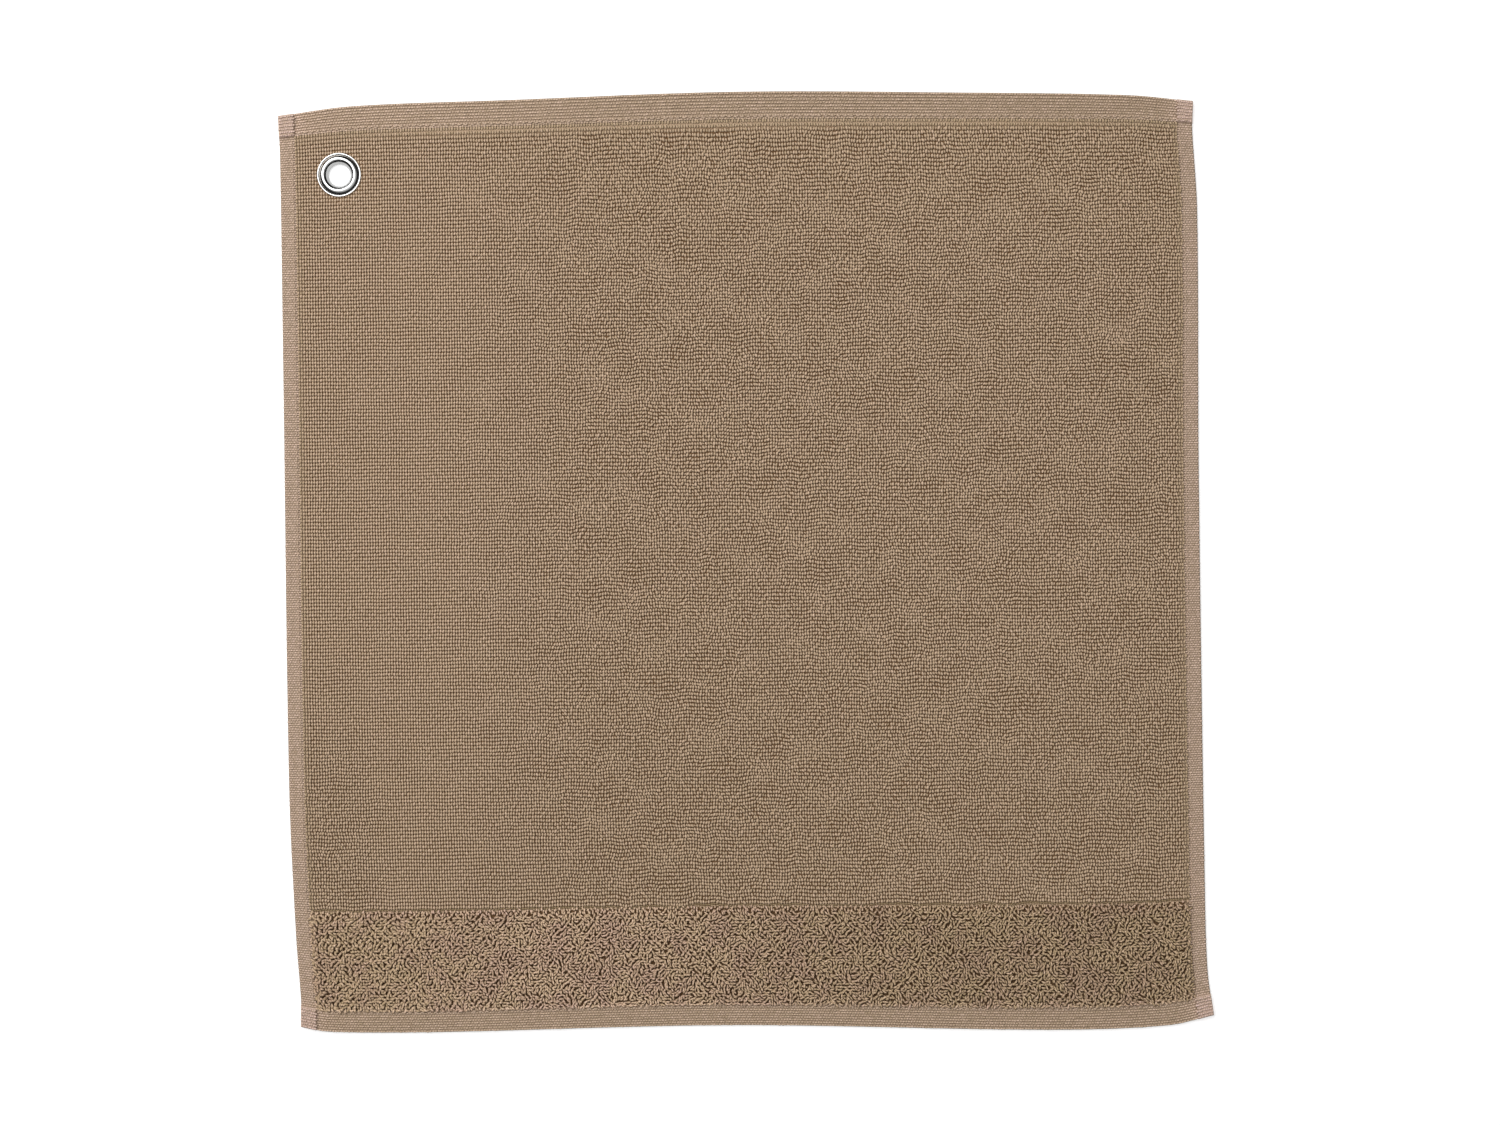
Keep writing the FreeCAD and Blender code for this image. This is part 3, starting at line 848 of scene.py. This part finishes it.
class TOWEL_OT_side_hems(Operator):
    """Makes the flat side hems, woven in fine rows"""

    bl_idname = "towel.side_hems"
    bl_label = "Side hems"

    def execute(self, context):
        hems, colours = context.scene.towel_hems, context.scene.towel_colours
        rng = np.random.default_rng(26)
        weave = cotton("side_cotton", colours.side, deep=0.15)
        top, margin, overlap = SIDE_HEM_T - 0.25 * MM, 0.35 * MM, 0.6 * MM
        for name, start, end in (("left_hem", 0, SIDE_HEM), ("right_hem", SIDE - SIDE_HEM, SIDE)):
            parts = [
                pillow(
                    start, end, -BOTTOM_ROW - MM, -TOP_HEM + MM, top, radius=1.0 * MM, step=2.0 * MM
                ),
                ribs(
                    (max(start - overlap, margin), min(end + overlap, SIDE - margin)),
                    (TOP_HEM, BOTTOM_ROW), (1.4 * MM, hems.side_pitch),
                    rng, foot=top - 0.2 * MM, rise=0.45 * MM,
                ),
            ]
            made = piece(f"{name}_weave", parts, weave, "side_weave", name)
        return {"FINISHED"}


class TOWEL_OT_seams(Operator):
    """Sews the four seams in two-ply thread along the inner edges of the hems"""

    bl_idname = "towel.seams"
    bl_label = "Seams"

    def execute(self, context):
        hems, colours = context.scene.towel_hems, context.scene.towel_colours
        thread = cotton("thread_cotton", colours.thread, deep=0.6)
        inset, clear = 1.4 * MM, 2.0 * MM
        core, lift, needle_depth, twists = 0.36 * hems.ply, 0.1 * MM, 2.2 * MM, 1.25
        left, right = SIDE_HEM - inset, SIDE - SIDE_HEM + inset
        above, below = -TOP_HEM - clear, -BOTTOM_ROW + clear
        seams = (
            ("left", (left, above), (left, below), SIDE_HEM_T),
            ("right", (right, above), (right, below), SIDE_HEM_T),
            ("top", (clear, -TOP_HEM + inset), (SIDE - clear, -TOP_HEM + inset), HEM_T),
            ("bottom", (clear, -BOTTOM_ROW - inset), (SIDE - clear, -BOTTOM_ROW - inset), HEM_T),
        )
        for name, start, end, surface in seams:
            start, end = np.array(start), np.array(end)
            run = np.linalg.norm(end - start)
            along = (end - start) / run
            beside = np.array([-along[1], along[0]])
            number = int(run / hems.stitch_pitch)
            middles = start + along * ((np.arange(number) + 0.5) * run / number)[:, None]
            near_end = np.minimum(middles[:, 0], SIDE - middles[:, 0]) < SIDE_HEM
            level = np.where(near_end & (surface == HEM_T), CORNER_T, surface)
            share = np.linspace(-0.5, 0.5, 9)
            dip = needle_depth * np.abs(share) ** 4 * 4
            swell = 0.5 * hems.ply * np.array([0.7, 1, 1, 1, 1, 1, 0.7])
            plies = []
            for phase in (0, math.pi):
                twist = share * TAU * twists + phase
                offset = core * np.cos(twist)
                high = level[:, None] + lift + core * np.sin(twist) - dip
                flat = middles[:, None] + along * (share * hems.stitch_length)[:, None]
                flat = flat + beside * offset[:, None]
                path = np.concatenate([flat, high[..., None]], -1)
                plies.append(strands(path, swell, swell, 5))
            made = piece(f"{name}_stitches", plies, thread, "thread", f"{name}_seam_thread")
        return {"FINISHED"}


class TOWEL_OT_eyelet(Operator):
    """Turns the eyelet's domed face in fine steps and gives both halves their nickel plate"""

    bl_idname = "towel.eyelet"
    bl_label = "Eyelet"

    def execute(self, context):
        metal = context.scene.towel_colours.metal
        plate, plain_plate = nickel("eyelet_nickel", metal, painted_crease_shade=True), nickel("washer_nickel", metal)
        for place in bpy.data.objects["eyelet_washer"].material_slots:
            place.material = plain_plate
        outline = np.array(EYELET_OUTLINE) * MM
        before, after = np.roll(outline, 1, 0), np.roll(outline, -1, 0)
        beyond = np.roll(outline, -2, 0)
        t = (np.arange(4) / 4)[None, :, None]
        p, q, r, w = (x[:, None] for x in (before, outline, after, beyond))
        curve = q + 0.5 * t * (r - p + t * (2 * p - 5 * q + 4 * r - w + t * (3 * (q - r) + w - p)))
        radius, high = curve.reshape(-1, 2).T
        turn = np.arange(EYELET_TURNS) * TAU / EYELET_TURNS
        low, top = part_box("eyelet_barrel")
        x = (low[0] + top[0]) / 2 + radius[:, None] * np.cos(turn)
        y = (low[1] + top[1]) / 2 + radius[:, None] * np.sin(turn)
        points = np.stack([x, y, np.broadcast_to(high[:, None].clip(0), x.shape)], -1).reshape(-1, 3)
        spot = np.arange(x.size).reshape(x.shape)
        along, round_ = np.roll(spot, -1, 0), np.roll(spot, -1, 1)
        faces = np.stack([spot, round_, np.roll(round_, -1, 0), along], -1).reshape(-1, 4)
        creases = [np.abs(radius - r) / reach for r, reach in CREASES]
        # Painted shade and painted dark reflections: the plate is darker in its creases and inside its
        # funnel.
        painted_brightness = np.where(radius < FUNNEL_R, FUNNEL_PAINTED_BRIGHTNESS, 1.0) * smooth(0, 1, np.min(creases, 0))
        painted_brightness = np.repeat(painted_brightness, len(turn))
        piece("eyelet_face", [(points, faces, painted_brightness, painted_brightness)], plate, "nickel", "eyelet_barrel", laid=False)
        return {"FINISHED"}


class TOWEL_OT_declare_sheet(Operator):
    bl_idname = "towel.declare_sheet"
    bl_label = "Declare the sheet"

    def execute(self, context):
        return {"FINISHED"}


class TOWEL_OT_stage(Operator):
    """Sets the pale table, the soft studio light and the camera straight above"""

    bl_idname = "towel.stage"
    bl_label = "Stage"

    def execute(self, context):
        scene, stage = context.scene, context.scene.towel_stage
        mesh = bpy.data.meshes.new("table_top")
        rim = [(x * TABLE_HALF, y * TABLE_HALF, 0) for x, y in ((-1, -1), (1, -1), (1, 1), (-1, 1))]
        mesh.from_pydata(rim, [], [(0, 1, 2, 3)])
        finish = Finish("table_paint")
        tone = finish.span(finish.noise(0.5), 0.3, 0.7, 0.0, 1.0)
        pale = tuple(stage.table)
        finish.use(Base_Color=finish.mix(tone, tuple(0.98 * c for c in pale) + (1.0,), (*pale, 1.0)))
        finish.use(Roughness=0.9, Specular_IOR_Level=0.1, Emission_Color=(1, 1, 1, 1))
        finish.use(Emission_Strength=stage.table_glow)
        mesh.materials.append(finish.material)
        table = bpy.data.objects.new("table_top", mesh)
        scene.collection.objects.link(table)
        table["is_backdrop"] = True

        softbox = bpy.data.lights.new("softbox", "AREA")
        softbox.shape, softbox.size, softbox.energy = "SQUARE", SOFTBOX_SIZE, stage.lamp_power
        key = bpy.data.lights.new("key", "SUN")
        key.energy, key.angle = stage.key_light, KEY_SPREAD
        for light, spot in ((softbox, SOFTBOX_AT), (key, KEY_AT)):
            lamp = bpy.data.objects.new(light.name, light)
            lamp.location = spot
            lamp.rotation_euler = (-lamp.location).to_track_quat("-Z", "Y").to_euler()
            scene.collection.objects.link(lamp)

        world = bpy.data.worlds.new("studio")
        world.use_nodes = True
        tree = world.node_tree
        background = tree.nodes["Background"]
        background.inputs["Color"].default_value = (1, 1, 1, 1)
        direction = tree.nodes.new("ShaderNodeSeparateXYZ")
        tree.links.new(tree.nodes.new("ShaderNodeTexCoord").outputs["Generated"], direction.inputs[0])
        fade = tree.nodes.new("ShaderNodeMapRange")
        room = stage.room_light
        for i, level in enumerate((DIM_BELOW, FULL_ABOVE, DIM_SHARE * room, room), 1):
            fade.inputs[i].default_value = level
        tree.links.new(direction.outputs[2], fade.inputs[0])
        seen = tree.nodes.new("ShaderNodeMath")
        seen.operation = "MAXIMUM"
        tree.links.new(tree.nodes.new("ShaderNodeLightPath").outputs["Is Camera Ray"], seen.inputs[0])
        tree.links.new(fade.outputs[0], seen.inputs[1])
        tree.links.new(seen.outputs[0], background.inputs["Strength"])
        scene.world = world

        camera = bpy.data.cameras.new("camera")
        camera.sensor_fit = "HORIZONTAL"
        camera.angle = 2 * math.atan(stage.view_width / 2 / (stage.camera_height - GROUND_TOP))
        viewer = bpy.data.objects.new("camera", camera)
        viewer.location = (*CAMERA_AT, stage.camera_height)
        scene.collection.objects.link(viewer)
        scene.camera = viewer
        scene.view_settings.view_transform = "Standard"
        return {"FINISHED"}


STEPS = (
    TOWEL_OT_stage,
    TOWEL_OT_ground_cloth,
    TOWEL_OT_terry_pile,
    TOWEL_OT_underside_pile,
    TOWEL_OT_divider,
    TOWEL_OT_deep_pile,
    TOWEL_OT_cross_hems,
    TOWEL_OT_side_hems,
    TOWEL_OT_seams,
    TOWEL_OT_eyelet,
    TOWEL_OT_declare_sheet,
)
GROUPS = {
    "towel_pile": TowelPile,
    "towel_hems": TowelHems,
    "towel_colours": TowelColours,
    "towel_stage": TowelStage,
}


class TOWEL_PT_pieces(Panel):
    """Sizes, colours and the pieces of the towel"""

    bl_label = "Golf towel"
    bl_idname = "TOWEL_PT_pieces"
    bl_space_type = "VIEW_3D"
    bl_region_type = "UI"
    bl_category = "Towel"

    def draw(self, context):
        for name, group in GROUPS.items():
            box = self.layout.box()
            box.label(text=name.replace("_", " ").capitalize())
            for key in group.__annotations__:
                box.prop(getattr(context.scene, name), key)
        for step in STEPS:
            self.layout.operator(step.bl_idname)


def register():
    for made in (*GROUPS.values(), *STEPS, TOWEL_PT_pieces):
        bpy.utils.register_class(made)
    for name, group in GROUPS.items():
        setattr(bpy.types.Scene, name, PointerProperty(type=group))


def unregister():
    for name in GROUPS:
        delattr(bpy.types.Scene, name)
    for made in (TOWEL_PT_pieces, *reversed(STEPS), *reversed(tuple(GROUPS.values()))):
        bpy.utils.unregister_class(made)


def main():
    """Builds the towel piece by piece."""
    register()
    for step in STEPS:
        getattr(bpy.ops.towel, step.bl_idname.split(".")[1])()
    boxes = {"cad": CAD_BOX, "visual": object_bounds()}
    lists = {name: [[float(x) for x in corner] for corner in box] for name, box in boxes.items()}


if __name__ == "__main__":
    main()
